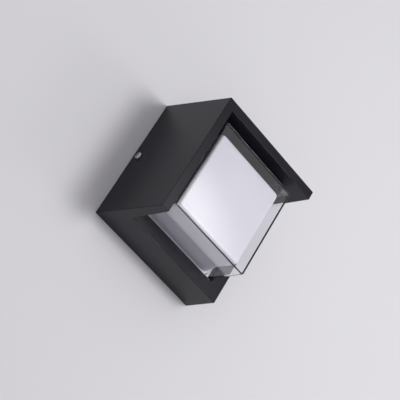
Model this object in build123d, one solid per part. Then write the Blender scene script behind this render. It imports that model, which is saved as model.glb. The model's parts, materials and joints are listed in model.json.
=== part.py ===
"""Outdoor wall lantern: a square die-cast body with an L-shaped canopy, a clear outer cover over an opal
diffuser, a sealed gear compartment behind them and a steel bracket that holds the lantern to the wall.

Everything is drawn on a bench frame, x to the right, y up and z out of the wall, with the canopy on the
left and top sides. to_wall() then stands the lantern up: the canopy's corner points up (+Z), the light
faces -Y, and the origin is the centre of the bracket on the wall's surface. Sizes are in millimetres.
"""

from build123d import *
import math
import os

# ---------------------------------------------------------------- driving dimensions
# body casting
SIDE = 150.0  # side of the square body, on the wall
DEPTH = 102.0  # wall to the canopy's front edge
BASE_DEPTH = 45.0  # wall to the front face of the base
OUTER_DRAFT = 1.85  # casting draft of the outer faces, degrees
CANOPY_TIP = 10.0  # canopy thickness at its front edge
CANOPY_DRAFT = 1.05  # casting draft of the canopy's inner faces, degrees
SHELL_WALL = 4.0  # side wall, at the wall end
FRONT_PLATE = 4.0  # plate behind the base's front face
LEDGE = 2.5  # step that the back plate's gasket lies on
LEDGE_DEPTH = 18.0  # wall to that step
EDGE_RADIUS = 0.8  # outer edges of the casting
CORE_WALL = 3.2  # metal left round the cores in the canopy
CORE_HALF_LENGTH = 38.0  # half the length of each core
# clear cover
RIM = 15.0  # base's front face, from its outer edge to the opening round the cover
COVER_GAP = 1.6  # gap between that opening and the cover
COVER_FRONT = 93.0  # wall to the cover's front face
COVER_DRAFT = 2.6  # draft of the cover's sides, degrees
COVER_WALL = 2.0
COVER_CORNER = 3.0  # outer radius of the cover's upright edges, at its front
COVER_EDGE = 0.8  # outer radius round the cover's front
FLANGE_THICK = 2.5
FLANGE_CORNER = 7.0
# opal diffuser
DIFFUSER_GAP = 5.5  # between the cover's inside and the diffuser, at their fronts
DIFFUSER_FRONT = 85.0  # wall to the diffuser's front face
DIFFUSER_SKIRT = 55.0  # wall to where the diffuser's sides begin to flare
DIFFUSER_DRAFT = 1.0
DIFFUSER_WALL = 1.6
DIFFUSER_CORNER = 4.0
DIFFUSER_EDGE = 2.4
DIFFUSER_FOOT = 1.6  # thickness of the diffuser's foot
SKIRT_MARGIN = 2.0  # foot left outside the skirt
SKIRT_CORNER = 12.0
# seals and plates
COVER_GASKET = 1.5
BACK_GASKET = 1.5
BACK_GASKET_WIDTH = 4.0
TRAY = 2.0  # LED tray thickness
BACK_PLATE = 2.0
FIT = 0.4  # clearance round plates and gaskets
# light source
BOARD_MARGIN = 3.7  # LED board's edge to the diffuser's inside
BOARD = 1.6
PAD = 0.5
CHIP_ROWS = 5
CHIP_EDGE = 12.0  # board's edge to the middle of the outer chips
CHIP = (3.5, 2.8, 0.8)
# fixings: shank radius, head radius and head height
M25 = (1.25, 2.2, 1.5)
M3 = (1.5, 2.8, 1.9)
M4 = (2.0, 4.0, 2.6)
THREAD_CLEARANCE = 0.05
HEAD_ROUNDING = 0.55  # of the head's height
RECESS = (0.62, 0.22, 0.6)  # cross recess: half length and width over the head's radius, depth over its height
RECESS_TAPER = 4.0  # degrees
COLUMN_RADIUS = 4.5  # corner columns that take the back plate's screws
COLUMN_ROOT = 0.5  # how far a column is merged into the walls beside it
BOSS_RADIUS = 3.3  # bosses that take the tray's screws
BOSS_ROOT = 0.2
TRAY_SCREW_OFFSET = 45.0  # from the centre line, along the side
TRAY_SCREW_LENGTH = 5.0
BACK_SCREW_LENGTH = 12.0
SIDE_SCREW_TO_PLATE = 3.0  # side screws' centre line to the back plate
TIP_CLEARANCE = 0.05  # side screw's point to the bracket's tab
WASHER = 0.8  # thickness of the washer under each side screw's head
WASHER_RADIUS = 4.3
SPOT_FACE = 0.15  # depth of the flat seat under the washer, at its shallow edge
# wall bracket
BRACKET = 2.0  # sheet thickness
BRACKET_HALF_WIDTH = 30.0
TAB_HALF_WIDTH = 9.0
TAB_TO_PLATE = 1.0  # tabs' tips to the back plate
TAB_GAP = 0.8  # tab to the body's side wall
RELIEF = 1.2  # half width of the notches beside each tab
BRACKET_EARTH = 20.0  # tab to the bracket's earth screw
WALL_HOLE_CIRCLE = 64.0  # pitch circle of the wall screws
WALL_HOLE = 2.5  # radius
GLAND_CLEARANCE = 2.8  # round the gland, in the bracket's middle hole
# cable gland
GLAND_THREAD = 6.25  # radius
GLAND_BORE = 3.25  # radius of the seal's bore
GLAND_SEAL = 5.2  # radius of the seal's seat
GLAND_FLATS = 16.0  # across the flats of the body and the cap
GLAND_BODY = 4.5
GLAND_TO_WALL = 1.5  # wall to the cap's end
GLAND_DOME = 3.0  # height of the cap's round end
LOCK_NUT = 4.0
SEAL_STOP = 1.5  # thickness of the cap's end, which the seal rests on
SEAL_TO_PLATE = 1.5
# driver
DRIVER = (80.0, 34.0, 15.0)
DRIVER_PLACE = (0.0, 32.0)
DRIVER_WALL = 1.6
DRIVER_LID = 1.8
DRIVER_EAR = 8.0
EAR_THICK = 2.0
TRANSFORMER = (16.0, 13.0)  # length and width of the transformer's core
TRANSFORMER_GAP = 0.8  # core to the lid
CORE_PLATE = 2.0  # thickness of the core's top and bottom
CORE_LEG = 0.3  # the middle leg's share of the core's length
TRANSFORMER_OFFSET = 4.0  # along the driver, from its middle
CAPACITOR = (3.6, 14.0)  # radius and length
CAPACITOR_OFFSETS = (-21.0, 23.0)
WINDING_GAP = 0.1
WINDING_OVERHANG = 2.0  # how far the winding stands out of the core on each side
# mains terminal block
BLOCK = (27.0, 16.0, 12.0)
BLOCK_PLACE = (-20.0, -32.0)
POLE_PITCH = 8.5
POLE_ENTRY = 1.6  # radius
BLOCK_SCREW_SINK = 3.0
CLAMP_SCREW = 1.8  # radius of the clamp screws
CLAMP_SCREW_PLACE = 0.55  # of the block's half width, from its centre line
CLAMP_SCREW_SINK = 0.4
CLAMP_SLOT = (0.6, 0.8)  # width and depth of the slot in a clamp screw
# leads
LEAD = 0.9  # radius
LEAD_SPACING = 2.5  # between the two leads in the tray's lead hole
LEAD_BEND = 12.0  # largest bend radius
ARC_SHARE = 0.45  # part of the shorter run that an arc may take
LEAD_TO_LID = 4.0  # from the inside of the driver's lid to the leads' level
LEAD_INSERT = 3.0  # how far a lead reaches into the terminal block
OUTPUT_TURNS = (10.0, 14.0)  # driver's end to where the inner and the outer output lead turn down
OUTPUT_ARCH = 13.0  # height of the output leads' arch over the LED board
OUTPUT_PAD = 15.0  # grommet to the soldering pads on the LED board
INPUT_TURNS = (11.0, 16.0)  # driver's end to where the live and the neutral lead turn up
INPUT_DROPS = (9.0, 13.0)  # terminal block to where they turn aside
EXIT_HALF_PITCH = 2.0  # of the two leads at each end of the driver
EARTH_PLACE = (22.0, -50.0)
EARTH_TAG = 0.8  # thickness of the ring terminal
EARTH_RING = 3.6  # its ring's outer radius
EARTH_NECK = (4.5, 3.0, 1.6)  # its neck: middle to the screw, half length and half width
EARTH_BARREL = (10.5, 5.0, 1.9)  # its barrel: end to the screw, length and radius
EARTH_CRIMP = 1.5  # length of lead inside the barrel
EARTH_STEP = 12.0  # run in which the earth lead drops to the barrel's level
GROMMET = 3.6  # radius of the tray's lead hole
GROMMET_PLACE = (0.0, 7.5)
GROMMET_WALL = 1.0
GROMMET_LIP = 1.0

# ---------------------------------------------------------------- places that follow from them
HALF = SIDE / 2
SLOPE = math.tan(math.radians(OUTER_DRAFT))
RECESS_HALF = HALF - SHELL_WALL
CAVITY_HALF = RECESS_HALF - LEDGE
PLATE_BACK = BASE_DEPTH - FRONT_PLATE  # rear face of the casting's front plate
FLANGE_FRONT = PLATE_BACK - COVER_GASKET
TRAY_FRONT = FLANGE_FRONT - FLANGE_THICK
TRAY_BACK = TRAY_FRONT - TRAY
PLATE_FRONT = LEDGE_DEPTH - BACK_GASKET  # front face of the back plate
PLATE_REAR = PLATE_FRONT - BACK_PLATE
BOARD_FRONT = TRAY_FRONT + PAD + BOARD
CANOPY_INNER = HALF - DEPTH * SLOPE - CANOPY_TIP - (DEPTH - BASE_DEPTH) * math.tan(math.radians(CANOPY_DRAFT))
OPENING_HALF = HALF - BASE_DEPTH * SLOPE - RIM
COVER_SLOPE = math.tan(math.radians(COVER_DRAFT))
COVER_RISE = (COVER_FRONT - TRAY_FRONT) * COVER_SLOPE  # how much the foot is wider than the front
COVER_HALF = OPENING_HALF - COVER_GAP - (COVER_FRONT - BASE_DEPTH) * COVER_SLOPE
COVER_FOOT_HALF = COVER_HALF + COVER_RISE
DIFFUSER_HALF = COVER_HALF - COVER_WALL - DIFFUSER_GAP
DIFFUSER_SLOPE = math.tan(math.radians(DIFFUSER_DRAFT))
DIFFUSER_SKIRT_HALF = DIFFUSER_HALF + (DIFFUSER_FRONT - DIFFUSER_SKIRT) * DIFFUSER_SLOPE
DIFFUSER_FOOT_HALF = COVER_FOOT_HALF - COVER_WALL - FIT
BOARD_HALF = DIFFUSER_HALF - DIFFUSER_WALL - BOARD_MARGIN
CHIP_PITCH = 2 * (BOARD_HALF - CHIP_EDGE) / (CHIP_ROWS - 1)
COLUMN_PLACE = CAVITY_HALF - COLUMN_RADIUS + COLUMN_ROOT
BOSS_PLACE = CAVITY_HALF - BOSS_RADIUS + BOSS_ROOT
FLANGE_HALF = BOSS_PLACE - BOSS_RADIUS - FIT  # the cover's flange fits between the bosses
SIDE_SCREW_DEPTH = PLATE_REAR - SIDE_SCREW_TO_PLATE
TAB_DEPTH = PLATE_REAR - TAB_TO_PLATE
GLAND_FRONT = PLATE_REAR - GLAND_BODY  # where the gland's cap meets its body
SEAL_BACK = GLAND_TO_WALL + SEAL_STOP
TAB_OUTER = RECESS_HALF - TAB_GAP
SCREW_SEAT = HALF - (SIDE_SCREW_DEPTH + WASHER_RADIUS + FIT) * SLOPE - SPOT_FACE  # washer's seat, from the centre
CORNERS = [(sx, sy) for sx in (-1, 1) for sy in (-1, 1)]


# ---------------------------------------------------------------- shapes used by several pieces
def block(half_x, half_y, z0, z1, at=(0, 0), radius=0.0, taper=0.0):
    """A rectangular prism from z0 out to z1, with rounded upright edges and drafted sides if asked."""
    sketch = RectangleRounded(2 * half_x, 2 * half_y, radius) if radius else Rectangle(2 * half_x, 2 * half_y)
    return extrude(Plane((at[0], at[1], z0)) * sketch, z1 - z0, taper=taper)


def rod(radius, z0, z1, at=(0, 0)):
    """A round bar along z."""
    return Plane((at[0], at[1], z0)) * extrude(Circle(radius), z1 - z0)


def hexagon(flats, z0, z1, at=(0, 0)):
    """A hexagonal bar along z, measured across its flats."""
    return Plane((at[0], at[1], z0)) * extrude(RegularPolygon(flats / 2, 6, major_radius=False), z1 - z0)


def pan_screw(size, length, tip=0.3):
    """A cross-recessed pan-head screw: its head's seat is at z = 0 and its shank runs down to z = -length."""
    shank, head_radius, head_height = size
    head = extrude(Circle(head_radius), head_height)
    head = fillet(head.edges().filter_by(GeomType.CIRCLE).sort_by(Axis.Z)[-1], head_height * HEAD_ROUNDING)
    body = Plane((0, 0, -length)) * extrude(Circle(shank), length)
    body = chamfer(body.edges().filter_by(GeomType.CIRCLE).sort_by(Axis.Z)[0], tip)
    arm, width, deep = head_radius * RECESS[0], head_radius * RECESS[1], head_height * RECESS[2]
    halves = ((arm, width / 2), (width / 2, arm))
    bars = [extrude(Rectangle(2 * x, 2 * y), deep, taper=RECESS_TAPER) for x, y in halves]
    return head + body - Plane((0, 0, head_height - deep)) * (bars[0] + bars[1])


def bend_radii(points):
    """The largest arc that each corner's two runs leave room for, up to LEAD_BEND."""
    radii = []
    for before, corner, after in zip(points, points[1:], points[2:]):
        incoming, outgoing = Vector(*corner) - Vector(*before), Vector(*after) - Vector(*corner)
        turn = math.radians(incoming.get_angle(outgoing))
        radii.append(min(LEAD_BEND, ARC_SHARE * min(incoming.length, outgoing.length) / math.tan(turn / 2)))
    return radii


def lead(points):
    """A round insulated lead along straight runs joined by tangent arcs."""
    radii = bend_radii(points)
    print("lead with bend radii", ", ".join(f"{radius:.1f}" for radius in radii))
    path = FilletPolyline(*points, radius=radii)
    return sweep(Plane(origin=path @ 0, z_dir=path % 0) * Circle(LEAD), path=path)


def to_wall(shape):
    """Stands a bench-frame shape up on the wall, with the canopy's corner at the top."""
    return Rot(0, 45, 0) * Plane((0, 0, 0), x_dir=(1, 0, 0), z_dir=(0, -1, 0)).location * shape


# ---------------------------------------------------------------- the casting
def canopy_core(side_x, side_y):
    """The hollow that is cored up into one canopy wall from the back; side_x, side_y points to that wall."""
    outer = HALF - DEPTH * SLOPE - CORE_WALL
    inner = CANOPY_INNER + CORE_WALL
    top = DEPTH - CORE_WALL - 1.0
    middle, half = (outer + inner) / 2, (outer - inner) / 2
    if side_x:
        return block(half, CORE_HALF_LENGTH, LEDGE_DEPTH, top, at=(side_x * middle, 0))
    return block(CORE_HALF_LENGTH, half, LEDGE_DEPTH, top, at=(0, side_y * middle))


def housing():
    """One casting: square base, canopy on the left and top sides, front plate, ledge, columns and bosses."""
    body = extrude(Rectangle(SIDE, SIDE), DEPTH, taper=OUTER_DRAFT)
    uprights = body.edges().filter_by(lambda e: abs(e.tangent_at(0).Z) > 0.9)
    body = fillet(uprights, EDGE_RADIUS)
    # the open quarter in front of the base, whose two faces are the canopy's inner faces
    far = 4 * SIDE
    middle = far / 2 - CANOPY_INNER
    notch = block(far / 2, far / 2, BASE_DEPTH, DEPTH + 1, at=(middle, -middle), taper=-CANOPY_DRAFT)
    body -= notch
    body = fillet(body.faces().filter_by(Axis.Z).filter_by(lambda f: f.center().Z > 1).edges(), EDGE_RADIUS / 2)
    # rear recess, gear compartment and the opening that the cover comes out of
    body -= block(RECESS_HALF, RECESS_HALF, -1, LEDGE_DEPTH)
    body -= block(CAVITY_HALF, CAVITY_HALF, LEDGE_DEPTH - 1, PLATE_BACK)
    body -= block(OPENING_HALF, OPENING_HALF, PLATE_BACK - 1, BASE_DEPTH + 1, radius=COVER_CORNER)
    body -= canopy_core(-1, 0)
    body -= canopy_core(0, 1)
    for sx, sy in CORNERS:
        column = (sx * COLUMN_PLACE, sy * COLUMN_PLACE)
        body += rod(COLUMN_RADIUS, LEDGE_DEPTH, PLATE_BACK, column)
        body -= rod(M3[0] + THREAD_CLEARANCE, LEDGE_DEPTH - 1, LEDGE_DEPTH + BACK_SCREW_LENGTH, column)
        boss = (sx * BOSS_PLACE, sy * TRAY_SCREW_OFFSET)
        body += rod(BOSS_RADIUS, TRAY_FRONT, PLATE_BACK, boss)
        body -= rod(M3[0] + THREAD_CLEARANCE, TRAY_FRONT - 1, TRAY_FRONT + TRAY_SCREW_LENGTH, boss)
    for side in (-1, 1):
        body -= along_side_screw(side) * rod(M4[0] + THREAD_CLEARANCE, RECESS_HALF - 1, HALF + 1)
        body -= along_side_screw(side) * rod(WASHER_RADIUS + FIT, SCREW_SEAT, HALF + 1)
    return body


def along_side_screw(side):
    """Turns z outwards along the side screw's centre line, measured from the lantern's middle."""
    return Pos(0, 0, SIDE_SCREW_DEPTH) * Rot(0, side * 90, 0)


# ---------------------------------------------------------------- optics
def clear_cover():
    """Clear five-sided cover with a flange round its foot."""
    foot, corner = COVER_FOOT_HALF, COVER_CORNER + COVER_RISE
    outer = block(foot, foot, TRAY_FRONT, COVER_FRONT, radius=corner, taper=COVER_DRAFT)
    outer = fillet(outer.faces().sort_by(Axis.Z)[-1].edges(), COVER_EDGE)
    flange = block(FLANGE_HALF, FLANGE_HALF, TRAY_FRONT, FLANGE_FRONT, radius=FLANGE_CORNER)
    hollow = foot - COVER_WALL
    top = COVER_FRONT - COVER_WALL
    return outer + flange - block(hollow, hollow, TRAY_FRONT, top, radius=corner - COVER_WALL, taper=COVER_DRAFT)


def diffuser_form(inset, foot, front):
    """The diffuser's outer form, or its hollow when inset by the wall: a drafted box on a flared skirt."""
    skirt_foot = DIFFUSER_FOOT_HALF - SKIRT_MARGIN - inset
    skirt_top = DIFFUSER_SKIRT_HALF - inset
    corner = DIFFUSER_CORNER + (DIFFUSER_FRONT - DIFFUSER_SKIRT) * DIFFUSER_SLOPE - inset
    lower = Plane((0, 0, foot)) * RectangleRounded(2 * skirt_foot, 2 * skirt_foot, SKIRT_CORNER - inset)
    upper = Plane((0, 0, DIFFUSER_SKIRT)) * RectangleRounded(2 * skirt_top, 2 * skirt_top, corner)
    box = block(skirt_top, skirt_top, DIFFUSER_SKIRT, front, radius=corner, taper=DIFFUSER_DRAFT)
    box = fillet(box.faces().sort_by(Axis.Z)[-1].edges(), DIFFUSER_EDGE - inset)
    return loft([lower, upper]) + box


def inner_diffuser():
    """Opal inner cover with softly rounded edges, on a screwed foot."""
    half = DIFFUSER_FOOT_HALF
    plate = block(half, half, TRAY_FRONT, TRAY_FRONT + DIFFUSER_FOOT, radius=COVER_CORNER)
    hollow = diffuser_form(DIFFUSER_WALL, TRAY_FRONT, DIFFUSER_FRONT - DIFFUSER_WALL)
    body = plate + diffuser_form(0, TRAY_FRONT, DIFFUSER_FRONT) - hollow
    for place in diffuser_screw_places():
        body -= rod(M25[0] + THREAD_CLEARANCE, TRAY_FRONT - 1, TRAY_FRONT + DIFFUSER_FOOT + 1, place)
    return body


def diffuser_screw_places():
    reach = DIFFUSER_FOOT_HALF - M25[1] - FIT
    return [(sx * reach, sy * reach) for sx, sy in CORNERS]


def cover_gasket():
    """Silicone frame between the cover's flange and the casting's front plate."""
    ring = block(FLANGE_HALF, FLANGE_HALF, FLANGE_FRONT, PLATE_BACK, radius=FLANGE_CORNER)
    hole = OPENING_HALF + FIT
    return ring - block(hole, hole, FLANGE_FRONT - 1, PLATE_BACK + 1, radius=COVER_CORNER + FIT)


# ---------------------------------------------------------------- light source
def led_tray():
    """Aluminium plate that clamps the cover and carries the board in front and the gear behind."""
    half = CAVITY_HALF - FIT
    body = block(half, half, TRAY_BACK, TRAY_FRONT)
    corner = COLUMN_PLACE - COLUMN_RADIUS - FIT
    reach = half - corner
    for sx, sy in CORNERS:
        middle = (sx * (corner + reach), sy * (corner + reach))
        body -= block(reach, reach, TRAY_BACK - 1, TRAY_FRONT + 1, at=middle)
        body -= rod(M3[0] + FIT, TRAY_BACK - 1, TRAY_FRONT + 1, (sx * BOSS_PLACE, sy * TRAY_SCREW_OFFSET))
    for place in diffuser_screw_places():
        body -= rod(M25[0] + THREAD_CLEARANCE, TRAY_BACK - 1, TRAY_FRONT + 1, place)
    for place in board_screw_places() + driver_screw_places() + block_screw_places() + [EARTH_PLACE]:
        body -= rod(M3[0] + THREAD_CLEARANCE, TRAY_BACK - 1, TRAY_FRONT + 1, place)
    return body - rod(GROMMET, TRAY_BACK - 1, TRAY_FRONT + 1, GROMMET_PLACE)


def board_screw_places():
    reach = BOARD_HALF - M3[1] - 1.5
    return [(sx * reach, sy * reach) for sx, sy in CORNERS]


def driver_screw_places():
    reach = DRIVER[0] / 2 + DRIVER_EAR / 2
    return [(DRIVER_PLACE[0] + side * reach, DRIVER_PLACE[1]) for side in (-1, 1)]


def block_screw_places():
    return [(BLOCK_PLACE[0] + side * (POLE_PITCH / 2), BLOCK_PLACE[1]) for side in (-1, 1)]


def board_holes(shape):
    for place in board_screw_places():
        shape -= rod(M3[0] + THREAD_CLEARANCE, TRAY_FRONT - 1, BOARD_FRONT + 1, place)
    return shape - rod(GROMMET + GROMMET_LIP + FIT, TRAY_FRONT - 1, BOARD_FRONT + 1, GROMMET_PLACE)


def thermal_pad():
    return board_holes(block(BOARD_HALF, BOARD_HALF, TRAY_FRONT, TRAY_FRONT + PAD))


def led_board():
    return board_holes(block(BOARD_HALF, BOARD_HALF, TRAY_FRONT + PAD, BOARD_FRONT, radius=2))


def led_chips():
    """A square grid of chips on the board."""
    steps = [(i - (CHIP_ROWS - 1) / 2) * CHIP_PITCH for i in range(CHIP_ROWS)]
    front = BOARD_FRONT + CHIP[2]
    return [block(CHIP[0] / 2, CHIP[1] / 2, BOARD_FRONT, front, at=(x, y)) for x in steps for y in steps]


def lead_grommet():
    """Rubber grommet in the tray's lead hole, with a lip on each face."""
    body = rod(GROMMET - 0.05, TRAY_BACK, TRAY_FRONT, GROMMET_PLACE)
    for z0, z1 in ((TRAY_BACK - GROMMET_LIP, TRAY_BACK), (TRAY_FRONT, TRAY_FRONT + GROMMET_LIP)):
        body += rod(GROMMET + GROMMET_LIP, z0, z1, GROMMET_PLACE)
    return body - rod(GROMMET - GROMMET_WALL, TRAY_BACK - 5, TRAY_FRONT + 5, GROMMET_PLACE)


# ---------------------------------------------------------------- driver
def driver_base_z():
    return TRAY_BACK - DRIVER[2]


def driver_case():
    """Moulded driver case with an ear at each end, open at the back for its lid."""
    half_x, half_y = DRIVER[0] / 2, DRIVER[1] / 2
    body = block(half_x, half_y, driver_base_z() + DRIVER_LID, TRAY_BACK, at=DRIVER_PLACE, radius=2)
    body += block(half_x + DRIVER_EAR, half_y / 2, TRAY_BACK - EAR_THICK, TRAY_BACK, at=DRIVER_PLACE, radius=2)
    room_x, room_y = half_x - DRIVER_WALL, half_y - DRIVER_WALL
    body -= block(room_x, room_y, driver_base_z(), TRAY_BACK - DRIVER_WALL, at=DRIVER_PLACE)
    for place in driver_screw_places():
        body -= rod(M3[0] + FIT, TRAY_BACK - EAR_THICK - 1, TRAY_BACK + 1, place)
    for x, y in output_exits() + input_exits():
        body -= Pos(x, y, lead_z()) * Rot(0, 90, 0) * extrude(Circle(LEAD + 0.1), 2 * DRIVER_WALL, both=True)
    return body


def driver_lid():
    base = driver_base_z()
    return block(DRIVER[0] / 2, DRIVER[1] / 2, base, base + DRIVER_LID, at=DRIVER_PLACE, radius=2)


def driver_board():
    x, y = DRIVER[0] / 2 - DRIVER_WALL - 1.5, DRIVER[1] / 2 - DRIVER_WALL - 0.3
    top = TRAY_BACK - DRIVER_WALL
    return block(x, y, top - BOARD, top, at=DRIVER_PLACE)


def driver_parts_top():
    return TRAY_BACK - DRIVER_WALL - BOARD


def transformer_room(gap, reach):
    """The room round the transformer's middle leg; the core is cut by it and the winding fills it."""
    top = driver_parts_top()
    bottom = driver_base_z() + DRIVER_LID + TRANSFORMER_GAP
    middle = (DRIVER_PLACE[0] + TRANSFORMER_OFFSET, DRIVER_PLACE[1])
    half_x, half_y = TRANSFORMER[0] / 2, TRANSFORMER[1] / 2
    room = block(half_x - CORE_PLATE - gap, reach, bottom + CORE_PLATE + gap, top - CORE_PLATE - gap, at=middle)
    return room - block(CORE_LEG * half_x + gap, half_y + gap, bottom, top, at=middle)


def transformer_core():
    bottom = driver_base_z() + DRIVER_LID + TRANSFORMER_GAP
    half_x, half_y = TRANSFORMER[0] / 2, TRANSFORMER[1] / 2
    middle = (DRIVER_PLACE[0] + TRANSFORMER_OFFSET, DRIVER_PLACE[1])
    core = block(half_x, half_y, bottom, driver_parts_top(), at=middle)
    return core - transformer_room(0, half_y + 1)


def transformer_winding():
    return transformer_room(WINDING_GAP, TRANSFORMER[1] / 2 + WINDING_OVERHANG)


def capacitors():
    """Two electrolytic capacitors lying flat, one at each end of the driver's board."""
    radius, length = CAPACITOR
    can = Plane((0, 0, 0), z_dir=(0, 1, 0)) * extrude(Circle(radius), length)
    y, z = DRIVER_PLACE[1] - length / 2, driver_parts_top() - radius
    return [Pos(DRIVER_PLACE[0] + x, y, z) * can for x in CAPACITOR_OFFSETS]


# ---------------------------------------------------------------- leads and terminals
def lead_z():
    return driver_base_z() + DRIVER_LID + LEAD_TO_LID


def output_exits():
    return [(DRIVER_PLACE[0] + DRIVER[0] / 2, DRIVER_PLACE[1] + side * EXIT_HALF_PITCH) for side in (-1, 1)]


def input_exits():
    return [(DRIVER_PLACE[0] - DRIVER[0] / 2, DRIVER_PLACE[1] + side * EXIT_HALF_PITCH) for side in (-1, 1)]


def block_pole(index):
    """Where pole 0, 1 or 2 of the terminal block has the wire entry that faces away from the gland."""
    return BLOCK_PLACE[0] + (index - 1) * POLE_PITCH, BLOCK_PLACE[1] - BLOCK[1] / 2


def output_lead(index):
    """From the driver round to the grommet, through the tray and in an arch to its pad on the LED board."""
    x, y = output_exits()[index]
    turn = x + OUTPUT_TURNS[index]
    level = lead_z()
    side = GROMMET_PLACE[1] + LEAD_SPACING * (0.5 - index)
    through, pad = GROMMET_PLACE[0], GROMMET_PLACE[0] - OUTPUT_PAD
    arch = BOARD_FRONT + OUTPUT_ARCH
    points = [(x - DRIVER_WALL / 2, y, level), (turn, y, level), (turn, side, level), (through, side, level)]
    points += [(through, side, arch), (pad, side, arch), (pad, side, BOARD_FRONT)]
    return lead(points)


def input_lead(index):
    """From one pole of the terminal block round to the driver's input end."""
    px, py = block_pole(index)
    x, y = input_exits()[index]
    turn = x - INPUT_TURNS[index]
    low = py - INPUT_DROPS[index]
    level = lead_z()
    points = [(px, py + LEAD_INSERT, level), (px, low, level), (turn, low, level), (turn, y, level)]
    points += [(x + DRIVER_WALL / 2, y, level)]
    return lead(points)


def earth_lead():
    px, py = block_pole(2)
    ex, ey = EARTH_PLACE
    level, tag = lead_z(), TRAY_BACK - EARTH_BARREL[2]
    end = ex - EARTH_BARREL[0] + EARTH_CRIMP
    return lead([(px, py + LEAD_INSERT, level), (px, ey, level), (px + EARTH_STEP, ey, tag), (end, ey, tag)])


def earth_ring():
    """Crimped ring terminal under the earth screw, with a barrel that grips the earth lead's end."""
    ex, ey = EARTH_PLACE
    offset, half_length, half_width = EARTH_NECK
    end, length, radius = EARTH_BARREL
    ring = rod(EARTH_RING, TRAY_BACK - EARTH_TAG, TRAY_BACK, EARTH_PLACE)
    neck = block(half_length, half_width, TRAY_BACK - EARTH_TAG, TRAY_BACK, at=(ex - offset, ey))
    along_lead = Pos(ex - end, ey, TRAY_BACK - radius) * Rot(0, 90, 0)
    body = ring + neck + along_lead * rod(radius, 0, length)
    body -= rod(M3[0] + THREAD_CLEARANCE, TRAY_BACK - 3, TRAY_BACK + 1, EARTH_PLACE)
    return body - along_lead * rod(LEAD + 0.02, -0.1, EARTH_CRIMP)


def terminal_block():
    """Three-pole screw terminal: a wire entry on both long sides and a clamp screw over each."""
    half_x, half_y, height = BLOCK[0] / 2, BLOCK[1] / 2, BLOCK[2]
    low = TRAY_BACK - height
    body = block(half_x, half_y, low, TRAY_BACK, at=BLOCK_PLACE, radius=0.8)
    for index in range(3):
        x = BLOCK_PLACE[0] + (index - 1) * POLE_PITCH
        across = Plane((x, BLOCK_PLACE[1], lead_z()), z_dir=(0, 1, 0))
        entry = across * extrude(Circle(POLE_ENTRY), half_y + 1, both=True)
        body -= entry
        for side in (-1, 1):
            clamp = (x, BLOCK_PLACE[1] + side * half_y * CLAMP_SCREW_PLACE)
            body -= rod(CLAMP_SCREW + 0.1, low - 1, lead_z(), clamp)
    for place in block_screw_places():
        body -= rod(M3[0] + 0.1, low - 1, TRAY_BACK + 1, place)
        body -= rod(M3[1] + 0.1, low - 1, low + BLOCK_SCREW_SINK, place)
    return body


def terminal_clamp_screws():
    screws = []
    low = TRAY_BACK - BLOCK[2]
    for index in range(3):
        for side in (-1, 1):
            x = BLOCK_PLACE[0] + (index - 1) * POLE_PITCH
            y = BLOCK_PLACE[1] + side * BLOCK[1] / 2 * CLAMP_SCREW_PLACE
            top = low + CLAMP_SCREW_SINK
            grub = rod(CLAMP_SCREW, top, lead_z() - LEAD - 0.05, (x, y))
            slot = block(CLAMP_SCREW + 1, CLAMP_SLOT[0] / 2, top - 1, top + CLAMP_SLOT[1], at=(x, y))
            screws.append(grub - slot)
    return screws


# ---------------------------------------------------------------- back of the lantern
def back_plate():
    half = RECESS_HALF - FIT
    body = block(half, half, PLATE_REAR, PLATE_FRONT, radius=1.0)
    for sx, sy in CORNERS:
        body -= rod(M3[0] + FIT, PLATE_REAR - 1, PLATE_FRONT + 1, (sx * COLUMN_PLACE, sy * COLUMN_PLACE))
    return body - rod(GLAND_THREAD + 0.2, PLATE_REAR - 1, PLATE_FRONT + 1)


def back_gasket():
    """Flat silicone frame on the casting's ledge, widened at the corners for the screws."""
    half = RECESS_HALF - FIT
    inner = half - BACK_GASKET_WIDTH
    body = block(half, half, PLATE_FRONT, LEDGE_DEPTH, radius=1.0) - block(inner, inner, 0, LEDGE_DEPTH + 1)
    for sx, sy in CORNERS:
        body += rod(COLUMN_RADIUS, PLATE_FRONT, LEDGE_DEPTH, (sx * COLUMN_PLACE, sy * COLUMN_PLACE))
        body -= rod(M3[0] + FIT, 0, LEDGE_DEPTH + 1, (sx * COLUMN_PLACE, sy * COLUMN_PLACE))
    return body


def gland_body():
    """Threaded stem through the back plate, with the hexagon outside it."""
    stem = rod(GLAND_THREAD, PLATE_REAR, PLATE_FRONT + LOCK_NUT + 1.5)
    collar = hexagon(GLAND_FLATS, GLAND_FRONT, PLATE_REAR)
    return stem + collar - rod(GLAND_SEAL, GLAND_FRONT - 1, PLATE_FRONT + LOCK_NUT + 3)


def gland_cap():
    """Dome nut that squeezes the seal round the cable."""
    shoulder = GLAND_TO_WALL + GLAND_DOME
    dome = rod(GLAND_FLATS / 2, GLAND_TO_WALL, shoulder)
    dome = chamfer(dome.edges().filter_by(GeomType.CIRCLE).sort_by(Axis.Z)[0], GLAND_DOME * 2 / 3)
    cap = dome + hexagon(GLAND_FLATS, shoulder, GLAND_FRONT) - rod(GLAND_SEAL, SEAL_BACK, GLAND_FRONT + 1)
    return cap - rod(GLAND_BORE + 0.6, 0, SEAL_BACK + 1)


def gland_seal():
    """Rubber sleeve inside the gland; the supply cable passes through its bore."""
    sleeve = rod(GLAND_SEAL - 0.05, SEAL_BACK, PLATE_REAR - SEAL_TO_PLATE)
    return sleeve - rod(GLAND_BORE, 0, PLATE_REAR)


def gland_lock_nut():
    nut = hexagon(GLAND_FLATS + 1, PLATE_FRONT, PLATE_FRONT + LOCK_NUT)
    return nut - rod(GLAND_THREAD + 0.05, 0, PLATE_FRONT + LOCK_NUT + 1)


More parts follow.
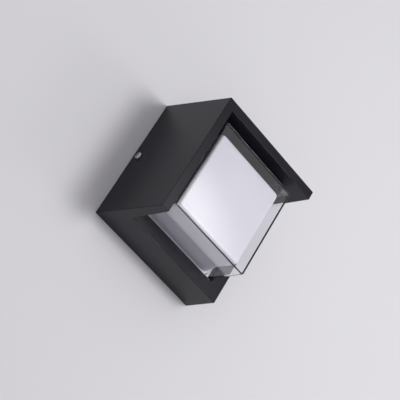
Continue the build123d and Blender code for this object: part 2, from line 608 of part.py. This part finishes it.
# ---------------------------------------------------------------- wall bracket and side screws
def wall_bracket():
    """Steel plate that is screwed to the wall; its two bent tabs stand inside the body's side walls."""
    body = block(TAB_OUTER, BRACKET_HALF_WIDTH, 0, BRACKET, radius=3)
    for side in (-1, 1):
        tab = block(BRACKET / 2, TAB_HALF_WIDTH, 0, TAB_DEPTH, at=(side * (TAB_OUTER - BRACKET / 2), 0))
        body += tab
        for edge in (-1, 1):
            notch = (side * TAB_OUTER, edge * (TAB_HALF_WIDTH + RELIEF))
            body -= block(BRACKET + 1, RELIEF, -1, BRACKET + 1, at=notch)
    body -= rod(GLAND_FLATS / math.sqrt(3) + GLAND_CLEARANCE, -1, BRACKET + 1)
    reach = WALL_HOLE_CIRCLE / 2 / math.sqrt(2)
    for sx, sy in CORNERS:
        body -= rod(WALL_HOLE, -1, BRACKET + 1, (sx * reach, sy * reach))
    return body - rod(M4[0] + THREAD_CLEARANCE, -1, BRACKET + 1, bracket_earth_place())


def bracket_earth_place():
    return (TAB_OUTER - BRACKET_EARTH, 0.0)


def bracket_earth_screw():
    return Pos(*bracket_earth_place(), BRACKET) * pan_screw(M4, BRACKET)


def side_screw(side):
    """Pan-head screw through the body's side wall; its point presses on the bracket's tab."""
    length = SCREW_SEAT + WASHER - TAB_OUTER - TIP_CLEARANCE
    return along_side_screw(side) * Pos(0, 0, SCREW_SEAT + WASHER) * pan_screw(M4, length)


def side_washer(side):
    washer = rod(WASHER_RADIUS, SCREW_SEAT, SCREW_SEAT + WASHER)
    return along_side_screw(side) * (washer - rod(M4[0] + THREAD_CLEARANCE, 0, HALF + 1))


def screws_at(places, size, seat, length, facing):
    """The same screw at several places; facing is 1 for heads in front of the seat and -1 for heads behind it."""
    turn = Rot(0, 0, 0) if facing > 0 else Rot(180, 0, 0)
    return [Pos(x, y, seat) * turn * pan_screw(size, length) for x, y in places]


# ---------------------------------------------------------------- the set
def all_parts():
    columns = [(sx * COLUMN_PLACE, sy * COLUMN_PLACE) for sx, sy in CORNERS]
    bosses = [(sx * BOSS_PLACE, sy * TRAY_SCREW_OFFSET) for sx, sy in CORNERS]
    block_seat = TRAY_BACK - BLOCK[2] + BLOCK_SCREW_SINK
    return {
        "housing": housing(),
        "clear_cover": clear_cover(),
        "inner_diffuser": inner_diffuser(),
        "diffuser_screws": screws_at(
            diffuser_screw_places(), M25, TRAY_FRONT + DIFFUSER_FOOT, DIFFUSER_FOOT + TRAY, 1
        ),
        "cover_gasket": cover_gasket(),
        "led_tray": led_tray(),
        "tray_screws": screws_at(bosses, M3, TRAY_BACK, TRAY + TRAY_SCREW_LENGTH - 0.5, -1),
        "thermal_pad": thermal_pad(),
        "led_board": led_board(),
        "board_screws": screws_at(board_screw_places(), M3, BOARD_FRONT, BOARD + PAD + TRAY, 1),
        "led_chips": led_chips(),
        "lead_grommet": lead_grommet(),
        "driver_case": driver_case(),
        "driver_lid": driver_lid(),
        "driver_board": driver_board(),
        "transformer_core": transformer_core(),
        "transformer_winding": transformer_winding(),
        "driver_capacitors": capacitors(),
        "driver_screws": screws_at(driver_screw_places(), M3, TRAY_BACK - EAR_THICK, EAR_THICK + TRAY, -1),
        "output_lead_red": output_lead(1),
        "output_lead_black": output_lead(0),
        "live_lead": input_lead(0),
        "neutral_lead": input_lead(1),
        "earth_lead": earth_lead(),
        "earth_ring_terminal": earth_ring(),
        "earth_screw": screws_at([EARTH_PLACE], M3, TRAY_BACK - EARTH_TAG, EARTH_TAG + TRAY, -1),
        "terminal_block": terminal_block(),
        "terminal_clamp_screws": terminal_clamp_screws(),
        "terminal_block_screws": screws_at(block_screw_places(), M3, block_seat, TRAY_FRONT - block_seat, -1),
        "back_gasket": back_gasket(),
        "back_plate": back_plate(),
        "back_plate_screws": screws_at(
            columns, M3, PLATE_REAR, BACK_PLATE + BACK_GASKET + BACK_SCREW_LENGTH - 1, -1
        ),
        "gland_body": gland_body(),
        "gland_cap": gland_cap(),
        "gland_seal": gland_seal(),
        "gland_lock_nut": gland_lock_nut(),
        "wall_bracket": wall_bracket(),
        "bracket_earth_screw": bracket_earth_screw(),
        "side_screw_upper": side_screw(-1),
        "side_washer_upper": side_washer(-1),
        "side_screw_lower": side_screw(1),
        "side_washer_lower": side_washer(1),
    }


os.makedirs("parts", exist_ok=True)
for name, shape in all_parts().items():
    solids = shape if isinstance(shape, list) else [shape]
    placed = [to_wall(s) for s in solids]
    whole = placed[0] if len(placed) == 1 else Compound(children=placed)
    export_step(whole, f"parts/{name}.step")
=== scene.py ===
"""Looks of the outdoor wall lantern: the finishes of its casting, clear cover, opal diffuser, fixings,
gear and bracket, on a pale wall above a pale floor, in soft studio light.

Metres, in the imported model's frame: the wall is the plane y = 0 and the lantern's front faces -Y.
"""

import json
import math

import bmesh
import bpy
from mathutils import Matrix, Vector

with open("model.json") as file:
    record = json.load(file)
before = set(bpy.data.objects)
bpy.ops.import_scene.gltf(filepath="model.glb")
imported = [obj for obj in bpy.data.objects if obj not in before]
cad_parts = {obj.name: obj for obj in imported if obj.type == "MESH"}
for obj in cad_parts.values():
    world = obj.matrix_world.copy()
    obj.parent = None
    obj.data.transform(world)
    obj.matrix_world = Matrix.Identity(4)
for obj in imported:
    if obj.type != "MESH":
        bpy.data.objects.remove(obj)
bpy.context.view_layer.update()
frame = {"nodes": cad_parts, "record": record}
nodes = frame["nodes"]

MM = 0.001


# ---------------------------------------------------------------- shader maths
MIX_COLOURS = (6, 7)  # the colour mix node's inputs for its two colours
MIX_RESULT = 2  # and its colour output


class Field:
    """A shader socket that takes part in Python sums; numbers stay plain numbers."""

    def __init__(self, graph, socket):
        self.graph, self.socket = graph, socket

    def _maths(self, operation, *values):
        return self.graph.add("ShaderNodeMath", {"operation": operation}, *values)

    def __add__(self, other):
        return self._maths("ADD", self, other)

    def __mul__(self, other):
        return self._maths("MULTIPLY", self, other)

    def __rsub__(self, other):
        return self._maths("SUBTRACT", other, self)

    __radd__ = __add__
    __rmul__ = __mul__

    def above(self, low, high):
        """0 below low, 1 above high, with a soft step between."""
        ramp = {"interpolation_type": "SMOOTHSTEP", "clamp": True}
        return self.graph.add("ShaderNodeMapRange", ramp, self, low, high, 0.0, 1.0)


class Graph:
    """The node tree of a new material, or of a lamp."""

    def __init__(self, name, lamp=None):
        self.owner = lamp or bpy.data.materials.new(name)
        self.output = "ShaderNodeOutputLight" if lamp else "ShaderNodeOutputMaterial"
        self.owner.use_nodes = True
        self.tree = self.owner.node_tree
        self.tree.nodes.clear()
        self.coordinates = None

    def add(self, kind, settings, *values, out=0, **named):
        """Adds a node, applies its settings, then sets or links its sockets; returns one output."""
        node = self.tree.nodes.new(kind)
        for name, value in settings.items():
            setattr(node, name, value)
        pairs = list(enumerate(values)) + [(name.replace("_", " "), value) for name, value in named.items()]
        for key, value in pairs:
            if isinstance(value, Field):
                self.tree.links.new(value.socket, node.inputs[key])
            else:
                node.inputs[key].default_value = value
        return Field(self, node.outputs[out])

    def place(self):
        """The point in the object's own frame, in metres."""
        if self.coordinates is None:
            self.coordinates = self.add("ShaderNodeTexCoord", {}, out="Object")
        return self.coordinates

    def noise(self, size, detail=2.0, stretch=None):
        """Noise whose features are about size metres across, drawn out by stretch along each axis."""
        place = self.place()
        if stretch:
            place = self.add("ShaderNodeMapping", {}, place, Scale=tuple(1 / s for s in stretch))
        return self.add("ShaderNodeTexNoise", {}, Vector=place, Scale=1 / size, Detail=detail)

    def cells(self, size):
        """Distance to the nearest of scattered points about size metres apart."""
        return self.add("ShaderNodeTexVoronoi", {}, Vector=self.place(), Scale=1 / size)

    def blend(self, factor, low, high):
        """A colour between two colours, each a triple or a field."""
        mix = self.add("ShaderNodeMix", {"data_type": "RGBA"}, factor, out=MIX_RESULT)
        for key, value in zip(MIX_COLOURS, (low, high)):
            self.paint(mix.socket.node.inputs[key], value)
        return mix

    def paint(self, socket, colour):
        """Sets a colour socket to a triple, or links it to a field."""
        if isinstance(colour, Field):
            self.tree.links.new(colour.socket, socket)
        else:
            socket.default_value = (*colour, 1)

    def bump(self, height, distance, strength):
        """A normal from a height field between 0 and 1 that stands for distance metres."""
        return self.add("ShaderNodeBump", {}, Height=height, Distance=distance, Strength=strength)

    def surface(self, colour, **named):
        """The principled shader; its colour is a triple or a field."""
        shade = self.add("ShaderNodeBsdfPrincipled", {}, **named)
        self.paint(shade.socket.node.inputs["Base Color"], colour)
        return shade

    def finish(self, shade):
        """Links the shader to the output and returns the material or lamp."""
        output = self.tree.nodes.new(self.output)
        self.tree.links.new(shade.socket, output.inputs["Surface"])
        return self.owner


# ---------------------------------------------------------------- finishes
def powder_coat():
    """Black polyester powder on the casting: a fine sand texture over a slight orange peel."""
    g = Graph("black_powder_coat")
    grain = g.noise(0.45 * MM, detail=3.0)
    peel = g.noise(1.8 * MM, detail=1.0)
    cloud = g.noise(35 * MM, detail=3.0)
    sparkle = g.cells(0.7 * MM).above(0.05, 0.35)
    colour = g.blend(cloud.above(0.3, 0.7), (0.0052, 0.0047, 0.009), (0.0072, 0.0065, 0.012))
    colour = g.blend((1 - sparkle) * 0.3, colour, (0.018, 0.0165, 0.026))
    height = grain * 0.65 + peel * 0.35
    rough = 0.2 + 0.06 * cloud + 0.04 * grain
    normal = g.bump(height, 0.04 * MM, 0.5)
    return g.finish(g.surface(colour, Roughness=rough, Normal=normal, Specular_IOR_Level=0.26))


def clear_polycarbonate():
    """Polished clear moulding; the light of lamps and walls falls straight through it."""
    g = Graph("clear_polycarbonate")
    smear = g.noise(22 * MM, detail=4.0, stretch=(1, 1, 2.4))
    rough = 0.012 + 0.03 * smear.above(0.45, 0.75)
    ripple = g.bump(g.noise(14 * MM, detail=1.0), 0.02 * MM, 0.35)
    glass = g.surface((0.985, 0.985, 1.0), Roughness=rough, IOR=1.585, Transmission_Weight=1.0, Normal=ripple)
    straight = g.add("ShaderNodeBsdfTransparent", {}, Color=(0.95, 0.95, 0.965, 1))
    for ray in ("Is Diffuse Ray", "Is Shadow Ray"):
        glass = g.add("ShaderNodeMixShader", {}, g.add("ShaderNodeLightPath", {}, out=ray), glass, straight)
    return g.finish(glass)


def opal_polycarbonate():
    """Milky satin moulding; light scatters inside its wall."""
    g = Graph("opal_polycarbonate")
    cloud = g.noise(30 * MM, detail=2.0)
    colour = g.blend(cloud, (0.78, 0.77, 0.85), (0.81, 0.80, 0.875))
    satin = g.bump(g.noise(0.5 * MM, detail=2.0), 0.01 * MM, 0.4)
    rough = 0.3 + 0.1 * cloud
    shade = g.surface(colour, Roughness=rough, Normal=satin, Subsurface_Weight=1.0, Subsurface_Scale=3 * MM,
                      Subsurface_Radius=(1, 1, 1), IOR=1.585)
    return g.finish(shade)


def metal(name, low, high, roughness, streak=None, cell=None):
    """Bare or plated metal: brushed along streak if given, or spangled with cells of a size."""
    g = Graph(name)
    cloud = g.noise(9 * MM, detail=4.0)
    fine = g.noise(0.4 * MM, detail=3.0, stretch=streak or (1, 1, 1))
    pattern = g.cells(cell) if cell else fine
    colour = g.blend(pattern * 0.7 + cloud * 0.3, low, high)
    rough = roughness + 0.14 * cloud + 0.08 * fine
    normal = g.bump(fine, 0.012 * MM, 0.5)
    return g.finish(g.surface(colour, Metallic=1.0, Roughness=rough, Normal=normal))


def moulded(name, low, high, roughness, grain=0.5 * MM, depth=0.02 * MM):
    """Moulded plastic, rubber or a solder mask: a cloudy colour under a fine grain."""
    g = Graph(name)
    cloud = g.noise(8 * MM, detail=3.0)
    fine = g.noise(grain, detail=2.0)
    colour = g.blend(cloud * 0.6 + fine * 0.4, low, high)
    rough = roughness + 0.1 * cloud
    return g.finish(g.surface(colour, Roughness=rough, Normal=g.bump(fine, depth, 0.5)))


BODY_EDGE = (105.5 * MM, 106 * MM)  # the body's side faces, which stand where |x| + |z| is 106 mm
BACK_REACH = (50 * MM, 60 * MM)  # shorter rays pass the wall there, longer ones meet its paint
PAINT_SHADE = 0.985  # the darker patches, as a share of the colour


def stage_paint(name, colour):
    """Pale paint on the wall and the floor. A view from behind sees through it, and where the lantern covers
    the wall it lets light on to the lantern's back."""
    g = Graph(name)
    cloud = g.noise(220 * MM, detail=3.0)
    tone = g.blend(cloud, colour, tuple(c * PAINT_SHADE for c in colour))
    paint = g.surface(tone, Roughness=0.9, Specular_IOR_Level=0.1)
    behind = g.add("ShaderNodeNewGeometry", {}, out="Backfacing")
    offset = g.add("ShaderNodeVectorMath", {"operation": "ABSOLUTE"}, g.place())
    spread = g.add("ShaderNodeVectorMath", {"operation": "DOT_PRODUCT"}, offset, (1, 0, 1), out="Value")
    away = g.add("ShaderNodeLightPath", {}, out="Ray Length")
    covered = (1 - spread.above(*BODY_EDGE)) * (1 - away.above(*BACK_REACH))
    clear = g.add("ShaderNodeMath", {"operation": "MAXIMUM"}, behind, covered)
    return g.finish(g.add("ShaderNodeMixShader", {}, clear, paint, g.add("ShaderNodeBsdfTransparent", {})))


def wire(name, low, high):
    """The sheath of a lead."""
    return moulded(name, low, high, 0.32, grain=0.8 * MM, depth=0.01 * MM)


FINISHES = {
    "powder_coat": powder_coat(),
    "clear_cover": clear_polycarbonate(),
    "opal": opal_polycarbonate(),
    "silicone": moulded("black_silicone", (0.03, 0.03, 0.03), (0.045, 0.045, 0.045), 0.6),
    "aluminium": metal("mill_aluminium", (0.66, 0.67, 0.68), (0.76, 0.77, 0.78), 0.3, streak=(1, 1, 30)),
    "stainless": metal("polished_stainless", (0.6, 0.59, 0.58), (0.72, 0.71, 0.7), 0.16),
    "thermal_pad": moulded("grey_thermal_pad", (0.34, 0.36, 0.4), (0.4, 0.42, 0.46), 0.7),
    "white_board": moulded("white_solder_mask", (0.8, 0.8, 0.78), (0.86, 0.86, 0.84), 0.3),
    "phosphor": moulded("led_phosphor", (0.86, 0.66, 0.16), (0.92, 0.76, 0.25), 0.35),
    "white_plastic": moulded("white_driver_case", (0.76, 0.76, 0.73), (0.82, 0.82, 0.8), 0.45),
    "green_board": moulded("green_solder_mask", (0.02, 0.15, 0.05), (0.03, 0.2, 0.07), 0.3),
    "ferrite": moulded("ferrite", (0.03, 0.03, 0.033), (0.05, 0.05, 0.052), 0.55),
    "winding_tape": moulded("yellow_polyester_tape", (0.75, 0.5, 0.05), (0.82, 0.58, 0.1), 0.3),
    "capacitor_sleeve": moulded("capacitor_sleeve", (0.015, 0.02, 0.05), (0.02, 0.028, 0.07), 0.3),
    "lead_red": wire("red_lead", (0.4, 0.012, 0.012), (0.5, 0.02, 0.02)),
    "lead_black": wire("black_lead", (0.012, 0.012, 0.012), (0.02, 0.02, 0.02)),
    "lead_brown": wire("brown_lead", (0.1, 0.04, 0.018), (0.14, 0.055, 0.025)),
    "lead_blue": wire("blue_lead", (0.015, 0.09, 0.42), (0.025, 0.12, 0.5)),
    "lead_green": wire("green_lead", (0.08, 0.32, 0.03), (0.5, 0.5, 0.04)),
    "tinned_brass": metal("tinned_brass", (0.66, 0.63, 0.56), (0.74, 0.72, 0.66), 0.3),
    "block_plastic": moulded("natural_nylon", (0.72, 0.71, 0.66), (0.78, 0.77, 0.72), 0.4),
    "zinc_steel": metal("zinc_plated_steel", (0.5, 0.53, 0.57), (0.68, 0.69, 0.7), 0.3, cell=6 * MM),
    "black_nylon": moulded("black_nylon", (0.018, 0.018, 0.019), (0.026, 0.026, 0.027), 0.42),
}


def dress_nodes():
    """Gives each CAD node the finish of its material slot."""
    for entry in frame["record"]["subparts"]:
        mesh = nodes[entry["node"]].data
        mesh.materials.clear()
        mesh.materials.append(FINISHES[entry["material_slot"]])


# ---------------------------------------------------------------- stage, light and camera
WALL_GAP = 0.3 * MM  # behind the bracket
WALL_COLOUR = (0.80, 0.79, 0.815)
FLOOR_COLOUR = (0.80, 0.79, 0.80)
FLOOR_LEVEL = -1.3
STAGE_SIZE = 6.0


def stage_plane(name, place, turn, colour):
    """A square sheet of the stage, which is not part of the lantern."""
    bm = bmesh.new()
    bmesh.ops.create_grid(bm, x_segments=1, y_segments=1, size=STAGE_SIZE / 2)
    bmesh.ops.transform(bm, matrix=Matrix.Translation(place) @ turn, verts=bm.verts)
    mesh = bpy.data.meshes.new(name)
    bm.to_mesh(mesh)
    bm.free()
    mesh.materials.append(stage_paint(name + "_paint", colour))
    plane = bpy.data.objects.new(name, mesh)
    bpy.context.scene.collection.objects.link(plane)


LIGHT_AIM = Vector((0, -50 * MM, 0))
LIGHT_DISTANCE = 1.6
LIGHT_FULL, LIGHT_END = 0.35, 0.5  # where a light's rim starts to fade and ends, as shares of its size


def soft_light(name, azimuth, rise, size, power):
    """A square light whose glow fades to nothing on a circle. In degrees, azimuth is to the right of straight
    in front and rise is above level."""
    turn = Matrix.Rotation(math.radians(azimuth), 4, "Z") @ Matrix.Rotation(-math.radians(rise), 4, "X")
    towards = turn @ Vector((0, -1, 0))
    data = bpy.data.lights.new(name, "AREA")
    data.shape = "SQUARE"
    data.size = size
    data.energy = power
    g = Graph(name, data)
    from_centre = g.add("ShaderNodeVectorMath", {"operation": "LENGTH"}, g.place(), out="Value")
    glow = 1 - from_centre.above(LIGHT_FULL * size, LIGHT_END * size)
    g.finish(g.add("ShaderNodeEmission", {}, Strength=glow))
    lamp = bpy.data.objects.new(name, data)
    lamp.location = LIGHT_AIM + towards * LIGHT_DISTANCE
    lamp.rotation_euler = (-towards).to_track_quat("-Z", "Y").to_euler()
    bpy.context.scene.collection.objects.link(lamp)


SKY_COLOUR = (0.97, 0.96, 1.0, 1)
SKY_STRENGTH = 0.485


def set_stage():
    upright = Matrix.Rotation(math.radians(90), 4, "X")
    stage_plane("pale_wall", (0, WALL_GAP, 0), upright, WALL_COLOUR)
    stage_plane("pale_floor", (0, 0, FLOOR_LEVEL), Matrix.Identity(4), FLOOR_COLOUR)
    soft_light("main_light", azimuth=17, rise=-6, size=0.6, power=16.2)
    soft_light("mirrored_light", azimuth=29, rise=-2, size=0.7, power=2.7)
    soft_light("low_light", azimuth=45, rise=-28, size=0.6, power=3.2)
    world = bpy.data.worlds.new("studio")
    world.use_nodes = True
    sky = world.node_tree.nodes["Background"]
    sky.inputs["Color"].default_value = SKY_COLOUR
    sky.inputs["Strength"].default_value = SKY_STRENGTH
    bpy.context.scene.world = world
    bpy.context.scene.view_settings.view_transform = "Standard"


CAMERA_AIM = (-5.8 * MM, -45.2 * MM, 2.9 * MM)
CAMERA_DISTANCE = 1.4393
CAMERA_AZIMUTH = math.radians(-40.39)
CAMERA_RISE = math.radians(1.063)  # how far the camera looks up
CAMERA_ROLL = math.radians(-5.515)
CAMERA_LENS = 126.26  # focal length and sensor width in millimetres
CAMERA_SENSOR = 36.0


def set_camera():
    data = bpy.data.cameras.new("camera")
    data.lens = CAMERA_LENS
    data.sensor_width = CAMERA_SENSOR
    turn = Matrix.Rotation(CAMERA_AZIMUTH, 4, "Z") @ Matrix.Rotation(math.pi / 2 + CAMERA_RISE, 4, "X")
    turn = turn @ Matrix.Rotation(CAMERA_ROLL, 4, "Z")
    camera = bpy.data.objects.new("camera", data)
    camera.matrix_world = Matrix.Translation(CAMERA_AIM) @ turn @ Matrix.Translation((0, 0, CAMERA_DISTANCE))
    bpy.context.scene.collection.objects.link(camera)
    bpy.context.scene.camera = camera


dress_nodes()
set_stage()
set_camera()
